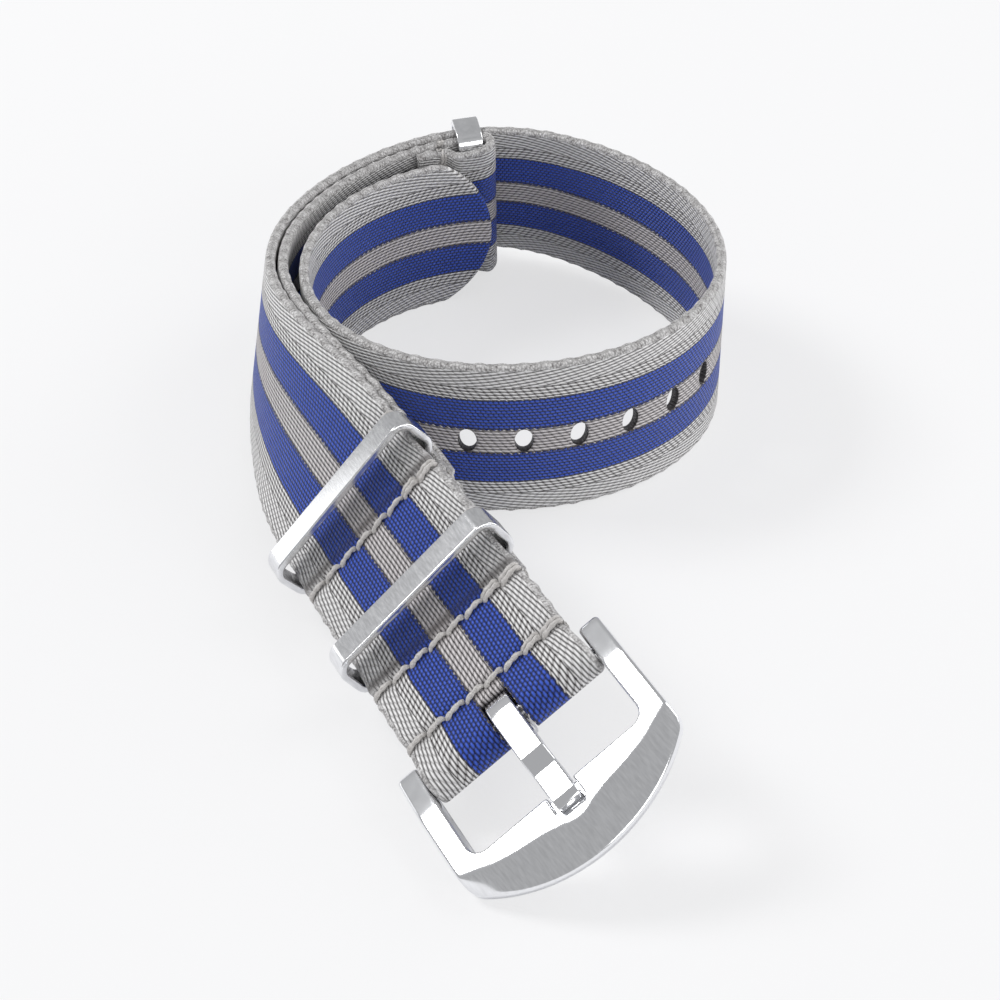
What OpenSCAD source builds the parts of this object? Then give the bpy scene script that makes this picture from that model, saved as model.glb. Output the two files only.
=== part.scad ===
// Nylon watch strap, coiled as it lies on a table: a long striped webbing strap with a pin buckle and two
// keepers, and a short second strap that ends in a third ring.
// A place on the strap is given as u, the distance from the bar of the buckle along the middle of the long
// strap, x, the distance across it, and n, the distance out of its outer face's side, all from its middle.

/* [Webbing] */
// Width of the webbing
strap_w = 20; // [18:0.5:24]
// Thickness of one layer
web_t = 1.2; // [0.9:0.05:1.4]
// Gap between two layers that are sewn on each other
layer_gap = 0.1; // [0.05:0.01:0.2]
// Length of the long strap from the bar to the tip of its tail
strap_len = 270; // [258:1:276]
// Length of the rounding at the tip
tip_len = 6.4; // [4:0.2:9]
// How much narrower the sewn part is drawn in
draw_in = 0.8; // [0:0.1:1.2]
// How much each seam pinches each edge
seam_pinch = 0.35; // [0:0.05:0.5]

/* [Sizing holes] */
// Length of an oval sizing hole, along the strap
hole_len = 2.1; // [1.9:0.1:2.6]
// Width of a sizing hole, across the strap, for the flat tongue
hole_w = 3.1; // [2.9:0.1:3.4]
// Distance from hole to hole
hole_pitch = 6.25; // [5:0.25:7]
// Number of holes
hole_count = 9; // [4:1:10]
// Distance from the tip to the middle of the last hole
hole_to_tip = 47.6; // [40:0.2:52]

/* [Seams] */
// Distance of the first seam from the bar
seam_bar = 3.7; // [3.5:0.1:5]
// Distance of a keeper's seam on the buckle's side
seam_front = 4.75; // [4.5:0.05:5.2]
// Distance of a keeper's seam on the tail's side
seam_back = 4.3; // [4.2:0.05:5]
// Length of one stitch
stitch_len = 2.7; // [2:0.1:3.5]
// Diameter of the thread
thread_d = 0.4; // [0.3:0.02:0.5]
// Webbing past the last seam of the folded end
fold_tail = 1.6; // [1:0.1:3]

/* [Keeper rings] */
// Room inside a ring, beyond the webbing's width
ring_play = 0.4; // [0.3:0.05:1]
// Room inside a ring, from the lower bar to the upper one
ring_room = 4.2; // [4:0.1:6]
// Slack of the webbing round a ring's lower bar, each side
ring_slack = 0.16; // [0.14:0.02:0.2]
// Width of the ring's band
ring_band = 3; // [2.4:0.1:3.2]
// Wall of the ring
ring_wall = 0.8; // [0.6:0.05:1]
// Radius of the ring's outer corners
ring_r = 1.9; // [1:0.1:2]
// Distance of the lower keeper from the bar
keeper_1_u = 16.4; // [16:0.1:18]
// Distance of the upper keeper from the bar
keeper_2_u = 33.5; // [32:0.1:35]
// How far a keeper leans towards the tail at rest, in degrees
keeper_lean = 8; // [-20:1:20]
// Most that a keeper can lean either way, in degrees
keeper_swing = 25; // [10:1:25]

/* [Short strap] */
// Webbing of the short strap before its first seam
short_lap = 1.95; // [1.4:0.05:2.4]
// Clearance between the short strap and the long one over it
short_gap = 0.3; // [0.1:0.05:0.4]
// Distance of the third ring from the bar
third_ring_u = 115; // [112:0.5:118]
// How far the third ring leans towards the tail at rest, in degrees
third_ring_lean = -8; // [-10:1:10]
// Most that the third ring can lean either way, in degrees
third_ring_swing = 12; // [10:1:14]
// Distance of the loop's seam from the ring
loop_seam = 4.4; // [4:0.1:6]
// Webbing past the loop's seam
loop_tail = 3.6; // [1.5:0.1:5]

/* [Buckle] */
// Clearance of the frame beside the webbing, each side
frame_play = 0.3; // [0.2:0.05:0.8]
// Width of an arm
arm_w = 2.4; // [2.2:0.1:3]
// Thickness of the frame
frame_t = 2.6; // [2.2:0.1:3]
// Radius of an arm's round end
eye_r = 1.45; // [1.2:0.05:1.8]
// Distance from the bar to the inner edge of the front
window_len = 9.8; // [9:0.1:11]
// Radius of the window's corners
window_r = 1.2; // [0.6:0.1:2]
// Distance from the bar to the middle of the outer edge
frame_len = 17.6; // [17:0.1:19]
// Radius of the outer edge
front_r = 17.9; // [16.5:0.1:30]
// Width of the front's sloped face, in the middle
slope_mid = 4.2; // [3.2:0.1:4.3]
// Width of the front's sloped face, at the sides
slope_side = 0.8; // [0.5:0.1:1.5]
// Thickness of the frame at the outer edge
edge_t = 0.9; // [0.6:0.1:1.5]

/* [Tongue] */
// Width of the tongue
tongue_w = 2.7; // [2:0.1:3]
// Radius of the tongue's eye
hub_r = 2.1; // [1.7:0.05:2.15]
// Distance from the bar to the end of the tongue
tongue_len = 13; // [12.6:0.05:13]
// Thickness of the tongue's strip
tongue_t = 1.1; // [0.8:0.05:1.2]
// Depth of the notch for the tip
notch_depth = 1; // [0.6:0.1:1.2]
// Clearance of the tip in its notch, each side
notch_play = 0.25; // [0.15:0.05:0.4]
// Clearance between the tip and the floor of its notch
rest_gap = 0.05; // [0.03:0.01:0.1]
// Width of the slot in the webbing for the tongue
slot_w = 3.5; // [3.3:0.1:4.5]
// Reach of the slot over the bar towards the tail
slot_reach = 2.6; // [2.5:0.05:2.8]

/* [Spring bar] */
// Diameter of the tube
tube_d = 1.8; // [1.6:0.1:2]
// Bore of the tube
tube_bore = 1.1; // [0.9:0.05:1.2]
// Bore of the tube's crimped ends
crimp_bore = 0.84; // [0.8:0.02:0.86]
// Length of a crimped end
crimp_len = 0.6; // [0.4:0.1:1]
// Clearance between the tube's end and an arm
tube_play = 0.2; // [0.1:0.05:0.4]
// Diameter of a pin's end
pin_d = 0.76; // [0.7:0.02:0.78]
// Length of a pin's collar
collar_len = 1.5; // [1:0.1:2.5]
// How deep a pin sits in its arm
pin_seat = 0.9; // [0.6:0.05:1.2]
// Depth of an arm's blind hole
pin_hole_depth = 1.3; // [1.25:0.05:1.6]
// Diameter of an arm's blind hole
pin_hole_d = 0.9; // [0.84:0.02:1]
// Running clearance round the collars, the bar and the spring, on the radius
run_gap = 0.05; // [0.03:0.01:0.06]
// Running clearance of the tongue's eye on the tube, on the radius
eye_gap = 0.08; // [0.05:0.01:0.1]
// Clearance of the webbing round the tube, on the radius
loop_gap = 0.1; // [0.1:0.01:0.2]
// Diameter of the spring's wire
wire_d = 0.22; // [0.16:0.02:0.26]
// Turns of the spring
spring_turns = 14; // [10:1:16]

/* [Hidden] */
// How the strap lies: heading at the bar, in degrees, and then, against u, its turn to the right in degrees
// a millimetre, its lean from the upright in degrees, and the height of its lower edge
start_heading = 90;
lie_turn = [[0, 0], [45, 0.1], [60, 1.1], [75, 1.6], [90, 2.1], [105, 2.3], [120, 2.2], [135, 1.9],
    [150, 1.9], [165, 2.6], [180, 2.4], [195, 1.9], [210, 2.5], [225, 2.8], [240, 2.4], [270, 2.7]];
lie_lean = [[8, 60], [16, 50.5], [30, 51.5], [45, 39], [60, 12.5], [75, 8], [90, 13], [105, 14.5], [120, 11],
    [140, 0.5], [150, 0]];
lie_lift = [[0, 4.9], [35, 4.8], [60, 1.7], [80, 0.3], [100, 1], [118, 2.3], [135, 0.5], [150, 0]];
// The first stretch, round the bar, is straight and untwisted
stiff_len = 4;
// Reach of the averaging that eases the lean and the lift
ease = [-8, -4, 0, 4, 8];
path_end = 290;

// Eased lean, lift, height of the middle and slope at u
function eased(table, u) = [for (d = ease) lookup(u + d, table)] * [for (d = ease) 1 / len(ease)];
function lean(u) = eased(lie_lean, max(u, stiff_len));
function mid_z(u) = strap_w / 2 * cos(eased(lie_lean, u)) + eased(lie_lift, u);
function slope(u) = let (v = max(u, stiff_len)) asin((mid_z(v + 1) - mid_z(v - 1)) / 2);

// Heading and place of the middle, summed up in steps of a millimetre
headings = [for (i = 0, a = start_heading; i <= path_end;
    a = a - (lookup(i, lie_turn) + lookup(i + 1, lie_turn)) / 2, i = i + 1) a];
function heading(u) = let (v = max(u, 0), i = floor(v))
    headings[i] + (headings[i + 1] - headings[i]) * (v - i);
function flat_way(u) = cos(slope(u)) * [cos(heading(u)), sin(heading(u))];
steps = [for (i = [0 : path_end - 1]) flat_way(i + 0.5)];
places = [for (i = 0, p = [0, 0]; i < path_end; p = p + steps[i], i = i + 1) p];

// Ways along the strap, out of its face and across it
function along(u) = let (a = heading(u), s = slope(u)) [cos(a) * cos(s), sin(a) * cos(s), sin(s)];
function inwards(u) = [sin(heading(u)), -cos(heading(u)), 0];
function upwards(u) = cross(inwards(u), along(u));
function across(u) = cos(lean(u)) * upwards(u) + sin(lean(u)) * inwards(u);
function outwards(u) = sin(lean(u)) * upwards(u) - cos(lean(u)) * inwards(u);
function middle(u) = let (v = max(u, stiff_len), i = floor(v), p = places[i] + (v - i) * steps[i])
    [p.x, p.y, mid_z(v)] + (u - v) * along(v);

// Raw place of a point of the strap, before the whole is centred
function raw(u, x, n) = let (v = max(u, stiff_len)) middle(u) + x * across(v) + n * outwards(v);

// Levels of the layers, by their middles
web_r = web_t / 2;
under_n = -(web_t + layer_gap);
bar_r = tube_d / 2;
bar_n = -(bar_r + loop_gap + web_r);
loop_r = -bar_n;
short_n = -(web_t + short_gap);

// Room for a ring's lower bar that swings by an angle, half its height
function swing_room(angle) = ring_band / 2 * sin(angle) + ring_wall / 2 * cos(angle) + ring_slack;
keeper_room = swing_room(keeper_swing);
third_room = swing_room(third_ring_swing);
keeper_n = -web_r - keeper_room;
third_n = short_n - web_r - third_room;
pocket_n = keeper_n - keeper_room - web_r;
pocket_len = ring_band / 2 + 0.4;
// Webbing that lies flat beside a seam
seam_flat = 0.6;
seams = [seam_bar, keeper_1_u - seam_front, keeper_1_u + seam_back, keeper_2_u - seam_front,
    keeper_2_u + seam_back];
fold_end = seams[4] + fold_tail;
short_start = seams[3] - short_lap;
third_seam = third_ring_u - loop_seam;

// Half the width of the webbing at u
sewn_end = fold_end + web_t;
widen_len = 6;
pinch_reach = 1.5;
tip_r = (pow(tip_len, 2) + pow(strap_w / 2, 2)) / (2 * tip_len);
function pinch(u) = seam_pinch * max([for (s = seams) max(0, 1 - abs(u - s) / pinch_reach)]);
function drawn(u) = draw_in / 2 * min(1, max(0, 1 - (u - sewn_end) / widen_len));
function drawn_w(u) = strap_w / 2 - drawn(u) - pinch(u);
function main_half_w(u) = let (d = strap_len - u) d < tip_len ? sqrt(d * (2 * tip_r - d)) : drawn_w(u);

// Bar's loop, as points of the layer's middle: over the bar, round it and on to just before the first seam
meet = [seam_bar - thread_d, under_n];
meet_d = norm(meet - [0, bar_n]);
loop_stop = atan2(meet.y - bar_n, meet.x) - acos(loop_r / meet_d);
loop_parts = 14;
bar_loop = [for (i = [0 : loop_parts]) let (a = 90 + i / loop_parts * (270 + loop_stop))
    [loop_r * cos(a), bar_n + loop_r * sin(a)]];

// Pocket of a keeper, between its two seams
function pocket(u) = [[u - seam_front + seam_flat, under_n], [u - pocket_len, pocket_n],
    [u + pocket_len, pocket_n], [u + seam_back - seam_flat, under_n]];
folded = concat([meet], pocket(keeper_1_u), pocket(keeper_2_u), [[fold_end, under_n]]);

// Points added so that no step is longer than a limit, and a line moved sideways by a distance
coil_step = 2.5;
sewn_step = 0.5;
// Where the strap twists, up to a distance from the bar, the steps are short too
twist_step = 0.8;
twist_end = 78;
function split(pts, most) = [for (i = [0 : len(pts) - 2]) let (k = ceil(norm(pts[i + 1] - pts[i]) / most))
    for (j = [0 : k - 1]) pts[i] + (pts[i + 1] - pts[i]) * j / k, pts[len(pts) - 1]];
function way(pts, i) = (pts[min(i + 1, len(pts) - 1)] - pts[max(i, 0)]) /
    norm(pts[min(i + 1, len(pts) - 1)] - pts[max(i, 0)]);
function left(v) = [-v.y, v.x];
function corner(a, b) = (left(a) + left(b)) / (1 + a * b);
function moved(pts, d) = [for (i = [0 : len(pts) - 1])
    pts[i] + d * corner(way(pts, min(max(i - 1, 0), len(pts) - 2)), way(pts, min(i, len(pts) - 2)))];

// Long strap from its tip to the end that is folded back, each sizing hole in the middle of a flat step
tip_parts = 8;
tip_blunt = 0.05;
tail_line = [for (k = [0 : tip_parts]) [strap_len - max(tip_blunt, tip_len * pow(k / tip_parts, 2)), 0]];
holes_from = strap_len - hole_to_tip + hole_pitch / 4;
holes_to = holes_from - (hole_count - 0.5) * hole_pitch;
holes_line = [for (i = [1 : 2 * hole_count - 1]) [holes_from - i * hole_pitch / 2, 0]];
coil_line = concat(split([tail_line[tip_parts], [holes_from, 0]], coil_step), holes_line,
    but_first(split([[holes_to, 0], [twist_end, 0]], coil_step)),
    but_first(split([[twist_end, 0], [sewn_end + widen_len, 0]], twist_step)));
sewn_line = split([[sewn_end + widen_len, 0], [0, 0]], sewn_step);
function but_first(v) = [for (i = [1 : len(v) - 1]) v[i]];
main_line = concat(tail_line, but_first(coil_line), but_first(sewn_line), but_first(bar_loop),
    split(folded, sewn_step));

// Short strap from its sewn start, up to its place under the long strap, to the cut end of its loop
sewn_under = [for (p = moved(folded, -(web_t + layer_gap))) if (p.x > short_start) p];
short_rise = 50;
rise_parts = 14;
rise_from = sewn_under[len(sewn_under) - 1];
rise_by = [short_rise, short_n] - rise_from;
rise = [for (i = [1 : rise_parts]) let (t = i / rise_parts)
    rise_from + [rise_by.x * t, rise_by.y * (3 - 2 * t) * t * t]];
third_loop_r = third_room + web_r;
third_loop_step = 18;
third_loop = [for (a = [90 : -third_loop_step : -90])
    [third_ring_u + ring_band / 2 + third_loop_r * cos(a), third_n + third_loop_r * sin(a)]];
third_back_n = short_n - web_t - layer_gap;
third_back = [[third_ring_u - pocket_len, third_n - third_loop_r], [third_seam + seam_flat, third_back_n],
    [third_seam - loop_tail, third_back_n]];
short_sewn = split(concat([[short_start, under_n - web_t - layer_gap]], sewn_under), sewn_step);
short_free = concat(but_first(split([rise[rise_parts - 1], [twist_end, short_n]], twist_step)),
    but_first(split([[twist_end, short_n], third_loop[0]], coil_step)));
short_back = split(third_back, sewn_step);
short_line = concat(short_sewn, but_first(rise), short_free, but_first(third_loop), short_back);

// Frame outline's widths and places, from the bar's axis
frame_in = strap_w / 2 + frame_play;
frame_out = frame_in + arm_w;
front_y = front_r - frame_len;
function front_edge_y(x) = front_y - sqrt(pow(front_r, 2) - x * x);
function slope_w(x) = slope_side + (slope_mid - slope_side) * (1 - pow(x / frame_out, 2));
notch_z = frame_t / 2 - notch_depth;
notch_end = tongue_len + 0.3;
// How far a cutter reaches past what it cuts
over = 1;

// Spring bar's places, from the middle
tube_half = frame_in - tube_play;
collar_out = tube_half - crimp_len - run_gap;
collar_in = collar_out - collar_len;
collar_r = tube_bore / 2 - run_gap;
pin_tip = frame_in + pin_seat;
spring_half = collar_in - pin_seat - run_gap;
wire_r = wire_d / 2;
spring_r = tube_bore / 2 - run_gap - wire_r;

// Outermost points of the whole, and the shift that puts its middle over the origin
ring_half = (strap_w + ring_play) / 2 + ring_wall;
ring_top_n = ring_room + ring_wall * 1.5;
edge_pts = concat(
    [for (u = [0 : 2 : strap_len], x = [-1, 1], n = [-1, 1]) raw(u, x * drawn_w(u), n * web_r)],
    [for (i = [-12 : 12], z = [-1, 1]) let (x = i / 12 * frame_out)
        raw(front_edge_y(x), x, bar_n + z * (z < 0 ? frame_t / 2 : edge_t - frame_t / 2))],
    [for (x = [-1, 1], b = [-1, 1]) raw(third_ring_u + b * ring_band / 2, x * (ring_half - ring_r),
        third_n + ring_top_n * cos(third_ring_lean))]);
xs = [for (p = edge_pts) p.x];
ys = [for (p = edge_pts) p.y];
shift = [-(min(xs) + max(xs)) / 2, -(min(ys) + max(ys)) / 2, 0];
function at(u, x, n) = raw(u, x, n) + shift;

// Puts a piece that is drawn with x across, y along and z outwards at a place of the strap
module local(u, n) {
    v = max(u, stiff_len);
    a = across(v);
    b = along(v);
    c = outwards(v);
    p = at(u, 0, n);
    multmatrix([[a.x, b.x, c.x, p.x], [a.y, b.y, c.y, p.y], [a.z, b.z, c.z, p.z], [0, 0, 0, 1]]) children();
}

// Closed skin over rings of points, all with the same count
module skin(rings) {
    m = len(rings[0]);
    last = len(rings) - 1;
    faces = concat(
        [[for (i = [0 : m - 1]) i]],
        [for (j = [0 : last - 1], i = [0 : m - 1]) [j * m + i, (j + 1) * m + i, (j + 1) * m + (i + 1) % m]],
        [for (j = [0 : last - 1], i = [0 : m - 1])
            [j * m + i, (j + 1) * m + (i + 1) % m, j * m + (i + 1) % m]],
        [[for (i = [m - 1 : -1 : 0]) last * m + i]]);
    polyhedron([for (r = rings, p = r) p], faces);
}

// Strip of webbing along a line of layer middles, with its half widths
module webbing(line, half_w) {
    inner = moved(line, web_r);
    outer = moved(line, -web_r);
    skin([for (i = [0 : len(line) - 1]) let (w = half_w[i]) [at(inner[i].x, -w, inner[i].y),
        at(inner[i].x, w, inner[i].y), at(outer[i].x, w, outer[i].y), at(outer[i].x, -w, outer[i].y)]]);
}

module main_strap() color([0.66, 0.67, 0.72]) difference() {
    webbing(main_line, [for (p = main_line) main_half_w(p.x)]);
    for (i = [0 : hole_count - 1]) local(strap_len - hole_to_tip - i * hole_pitch, 0) {
        for (side = [-1, 1]) translate([side * (hole_w - hole_len) / 2, 0, 0])
            cylinder(h = web_t * 3, d = hole_len, center = true, $fn = 32);
        cube([hole_w - hole_len, hole_len, web_t * 3], center = true);
    }
    local(0, bar_n) translate([-slot_w / 2, -loop_r - web_t, -loop_r - web_t])
        cube([slot_w, loop_r + web_t + slot_reach, 2 * (loop_r + web_t)]);
}

module short_strap() color([0.62, 0.63, 0.68])
    webbing(short_line, [for (p = short_line) drawn_w(p.x) - drawn(third_seam - p.x + sewn_end)]);

// Rounded rectangle of true arcs, centred
module rounded(size, r) {
    square([size.x - 2 * r, size.y], center = true);
    square([size.x, size.y - 2 * r], center = true);
    for (x = [-1, 1], y = [-1, 1])
        translate([x * (size.x / 2 - r), y * (size.y / 2 - r)]) circle(r, $fn = 32);
}

// Ring with the middle of its lower bar at the origin, turned about that bar
module ring(turn) {
    inside = [strap_w + ring_play, ring_room];
    rotate([-turn, 0, 0]) translate([0, ring_band / 2, (ring_room + ring_wall) / 2]) rotate([90, 0, 0])
        linear_extrude(ring_band) difference() {
            rounded(inside + 2 * ring_wall * [1, 1], ring_r);
            rounded(inside, ring_r - ring_wall);
        }
}

module lower_keeper() color([0.80, 0.81, 0.83]) local(keeper_1_u, keeper_n) ring(keeper_lean);
module upper_keeper() color([0.80, 0.81, 0.83]) local(keeper_2_u, keeper_n) ring(keeper_lean);
module short_strap_ring() color([0.70, 0.71, 0.73]) local(third_ring_u, third_n) ring(third_ring_lean);

// What slopes the front of the frame down from its crease to the outer edge
module front_slope() {
    reach = 1.4;
    top = frame_t / 2;
    parts = 16;
    half = frame_out + 0.01;
    skin([for (i = [-parts : parts]) let (x = i / parts * half, w = slope_w(x), c = front_edge_y(x) + w,
        e = c - w * reach)
        [[x, c, top + over], [x, e, top + over], [x, e, top + (edge_t - frame_t) * reach], [x, c, top]]]);
}

module buckle_frame() color([0.85, 0.86, 0.88]) local(0, bar_n) difference() {
    union() {
        translate([0, 0, -frame_t / 2]) linear_extrude(frame_t) difference() {
            intersection() {
                translate([0, front_y]) circle(front_r, $fn = 96);
                translate([-frame_out, -frame_len - over]) square([2 * frame_out, frame_len + over]);
            }
            translate([0, -window_len / 2 + window_r])
                rounded([2 * frame_in, window_len + 2 * window_r], window_r);
        }
        for (x = [-1, 1]) translate([x * (frame_in + arm_w / 2), 0, 0]) rotate([0, 90, 0])
            cylinder(h = arm_w, r = eye_r, center = true, $fn = 48);
    }
    front_slope();
    translate([-tongue_w / 2 - notch_play, -notch_end, notch_z])
        cube([tongue_w + 2 * notch_play, notch_end - window_len + over, frame_t]);
    for (side = [-1, 1]) rotate([0, side * 90, 0]) translate([0, 0, frame_in - over])
        cylinder(h = pin_hole_depth + over, d = pin_hole_d, $fn = 32);
}

// Tongue seen from the side, y along and z outwards: arched, then stepped down to the tip in its notch
tongue_foot = notch_z + rest_gap;
arch_y = -6.2;
arch_z = hub_r + 0.15;
step_y = -8;
step_z = hub_r - 0.4;
nose_y = 1.5 - tongue_len;
nose_z = hub_r - 0.55;
tip_y = 0.3 - tongue_len;
tip_z = hub_r - 1;
tip_face = 0.35;
tip_cut = 0.15;
foot_y = 0.2 - window_len;
heel_y = 1.6 - window_len;
hub_y = -2;
tongue_side = [[0, bar_r + eye_gap * 2], [0, hub_r], [arch_y, arch_z], [step_y, step_z], [nose_y, nose_z],
    [tip_y, tip_z], [-tongue_len, tongue_foot + tip_face], [tip_cut - tongue_len, tongue_foot],
    [foot_y, tongue_foot], [heel_y, step_z - tongue_t], [arch_y, arch_z - tongue_t],
    [hub_y, hub_r - tongue_t]];

module buckle_tongue() color([0.88, 0.89, 0.91]) local(0, bar_n) difference() {
    union() {
        rotate([0, 90, 0]) cylinder(h = tongue_w, r = hub_r, center = true, $fn = 48);
        rotate([90, 0, 90]) linear_extrude(tongue_w, center = true) polygon(tongue_side);
    }
    rotate([0, 90, 0]) cylinder(h = tongue_w + over, r = bar_r + eye_gap, center = true, $fn = 48);
}

module bar_tube() color([0.72, 0.73, 0.76]) local(0, bar_n) rotate([0, 90, 0]) difference() {
    cylinder(h = 2 * tube_half, d = tube_d, center = true, $fn = 48);
    cylinder(h = 2 * tube_half + over, d = crimp_bore, center = true, $fn = 32);
    cylinder(h = 2 * (tube_half - crimp_len), d = tube_bore, center = true, $fn = 32);
}

// Sprung pin of the bar at one side, with its collar inside the tube
module bar_pin(side) local(0, bar_n) rotate([0, side * 90, 0]) {
    translate([0, 0, collar_in]) cylinder(h = collar_len, r = collar_r, $fn = 32);
    translate([0, 0, collar_in]) cylinder(h = pin_tip - collar_in, d = pin_d, $fn = 32);
}

module bar_pin_left() color([0.76, 0.77, 0.79]) bar_pin(-1);
module bar_pin_right() color([0.76, 0.77, 0.79]) bar_pin(1);

module bar_spring() color([0.6, 0.6, 0.62]) local(0, bar_n) {
    parts = 10;
    pitch = 2 * (spring_half - wire_r) / spring_turns;
    skin([for (i = [0 : spring_turns * parts])
        let (a = i * 360 / parts, x = (i / parts - spring_turns / 2) * pitch)
        [for (b = [0 : 90 : 270]) let (r = spring_r + wire_r * cos(b))
            [x + wire_r * sin(b), r * cos(a), r * sin(a)]]]);
}

// Thread of one face of a seam: stitches side by side, half sunk in the webbing, each end down to its middle
module thread_line(u, top_n, low_n, count) {
    r = thread_d / 2;
    dip = r * 1.6;
    half = count * stitch_len / 2;
    line = concat([[-half + dip, low_n]], [for (i = [0 : count - 1]) let (a = -half + i * stitch_len)
        each [[a + dip, top_n], [a + stitch_len - dip, top_n], [a + stitch_len - dip, low_n],
            if (i < count - 1) [a + stitch_len + dip, low_n]]]);
    sides = 6;
    skin([for (i = [0 : len(line) - 1]) let (q = corner(way(line, min(max(i - 1, 0), len(line) - 2)),
        way(line, min(i, len(line) - 2))))
        [for (k = [0 : sides - 1]) let (b = k * 360 / sides, c = line[i] + r * cos(b) * q)
            at(u, c.x, c.y) - r * sin(b) * along(u)]]);
}

// Seam through layers from the outer face to the inner one
module seam(u, n_out, n_in) color([0.74, 0.75, 0.78]) {
    count = floor((2 * drawn_w(u) - 2) / stitch_len);
    mid = (n_out + n_in) / 2;
    apart = thread_d / 2 + 0.05;
    thread_line(u, n_out, mid + apart, count);
    thread_line(u, n_in, mid - apart, count);
}

two_layers = under_n - web_r;
three_layers = two_layers - web_t - layer_gap;
module thread_bar() seam(seams[0], web_r, two_layers);
module thread_lower_keeper_front() seam(seams[1], web_r, two_layers);
module thread_lower_keeper_back() seam(seams[2], web_r, two_layers);
module thread_upper_keeper_front() seam(seams[3], web_r, three_layers);
module thread_upper_keeper_back() seam(seams[4], web_r, three_layers);
module thread_ring_loop() seam(third_seam, short_n + web_r, third_back_n - web_r);

main_strap();
short_strap();
lower_keeper();
upper_keeper();
short_strap_ring();
buckle_frame();
buckle_tongue();
bar_tube();
bar_pin_left();
bar_pin_right();
bar_spring();
thread_bar();
thread_lower_keeper_front();
thread_lower_keeper_back();
thread_upper_keeper_front();
thread_upper_keeper_back();
thread_ring_loop();
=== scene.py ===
import bpy
import math
import numpy as np
from mathutils import Matrix, Vector


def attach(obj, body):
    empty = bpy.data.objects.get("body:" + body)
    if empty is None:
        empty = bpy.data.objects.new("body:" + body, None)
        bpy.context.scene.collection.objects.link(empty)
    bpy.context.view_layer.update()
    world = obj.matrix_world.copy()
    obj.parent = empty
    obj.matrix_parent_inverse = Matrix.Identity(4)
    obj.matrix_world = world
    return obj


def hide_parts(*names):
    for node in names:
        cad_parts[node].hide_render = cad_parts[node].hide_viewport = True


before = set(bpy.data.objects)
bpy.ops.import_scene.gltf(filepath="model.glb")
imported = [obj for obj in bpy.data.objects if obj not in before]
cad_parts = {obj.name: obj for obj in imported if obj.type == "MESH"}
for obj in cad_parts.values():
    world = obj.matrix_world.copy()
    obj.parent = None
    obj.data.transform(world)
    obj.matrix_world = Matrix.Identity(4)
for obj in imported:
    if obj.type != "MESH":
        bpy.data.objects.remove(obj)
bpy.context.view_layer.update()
bpy.ops.object.select_all(action="DESELECT")


# Camera. It looks down over the buckle's end on the whole coil, as the photographer did from a tripod
# beside the table.
eye = Vector((-0.09189, -0.16379, 0.15144))
aim = Vector((-0.00916, -0.00818, 0.01000))
tripod_roll = Matrix.Rotation(math.radians(-0.71), 3, "Z").to_quaternion()
camera_turn = (aim - eye).to_track_quat("-Z", "Y") @ tripod_roll
bpy.ops.object.camera_add(location=eye, rotation=camera_turn.to_euler())
camera = bpy.context.object
sensor_width = 36
camera.data.sensor_width = sensor_width
camera.data.lens = sensor_width * 2.0995
camera.data.clip_start = 0.01
bpy.context.scene.camera = camera
bpy.context.scene.view_settings.view_transform = "Standard"


# Table and light. A sheet of white card under the strap, a strong soft lamp and a low weak one behind
# on the left, and weaker ones on the right and in front, in a pale room.
bpy.ops.mesh.primitive_plane_add(size=24, location=(0, 0, 0))
table_card = bpy.context.object
table_card.name = "table_card"


def new_material(name):
    made = bpy.data.materials.new(name)
    made.use_nodes = True
    tree = made.node_tree
    return made, tree, tree.nodes["Principled BSDF"]


card, tree, shade = new_material("white_card")
shade.inputs["Base Color"].default_value = (0.86, 0.86, 0.87, 1)
shade.inputs["Roughness"].default_value = 0.9
shade.inputs["Specular IOR Level"].default_value = 0.1
# to the camera the card looks partly lit from within, as even as the white in the photograph
glow = tree.nodes.new("ShaderNodeEmission")
glow.inputs["Color"].default_value = (0.915, 0.915, 0.92, 1)
seen = tree.nodes.new("ShaderNodeLightPath")
part_lit = tree.nodes.new("ShaderNodeMath")
part_lit.operation = "MULTIPLY"
part_lit.inputs[1].default_value = 0.71
mix = tree.nodes.new("ShaderNodeMixShader")
tree.links.new(seen.outputs["Is Camera Ray"], part_lit.inputs[0])
tree.links.new(part_lit.outputs[0], mix.inputs["Fac"])
tree.links.new(shade.outputs[0], mix.inputs[1])
tree.links.new(glow.outputs[0], mix.inputs[2])
tree.links.new(mix.outputs[0], tree.nodes["Material Output"].inputs["Surface"])
table_card.data.materials.append(card)

room = bpy.data.worlds.new("pale_room")
bpy.context.scene.world = room
room.use_nodes = True
air = room.node_tree.nodes["Background"]
air.inputs["Color"].default_value = (0.93, 0.935, 0.95, 1)
air.inputs["Strength"].default_value = 0.50


def soft_lamp(name, place, target, size, power):
    turn = (Vector(target) - Vector(place)).to_track_quat("-Z", "Y")
    bpy.ops.object.light_add(type="AREA", location=place, rotation=turn.to_euler())
    lamp = bpy.context.object
    lamp.name = name
    lamp.data.shape = "RECTANGLE"
    lamp.data.size, lamp.data.size_y = size
    lamp.data.energy = power


soft_lamp("lamp_back_left", (-0.536, 0.617, 0.736), (0, 0, 0), (0.42, 0.34), 7.4)
soft_lamp("lamp_low_back", (-0.351, 0.499, 0.089), (-0.03, 0, 0.035), (0.157, 0.131), 0.085)
soft_lamp("lamp_right", (0.75, -0.05, 0.45), (0, 0, 0), (0.5, 0.7), 3.2)
soft_lamp("lamp_front", (0.1, -0.95, 0.45), (0, 0, 0), (0.8, 0.4), 3.9)


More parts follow.
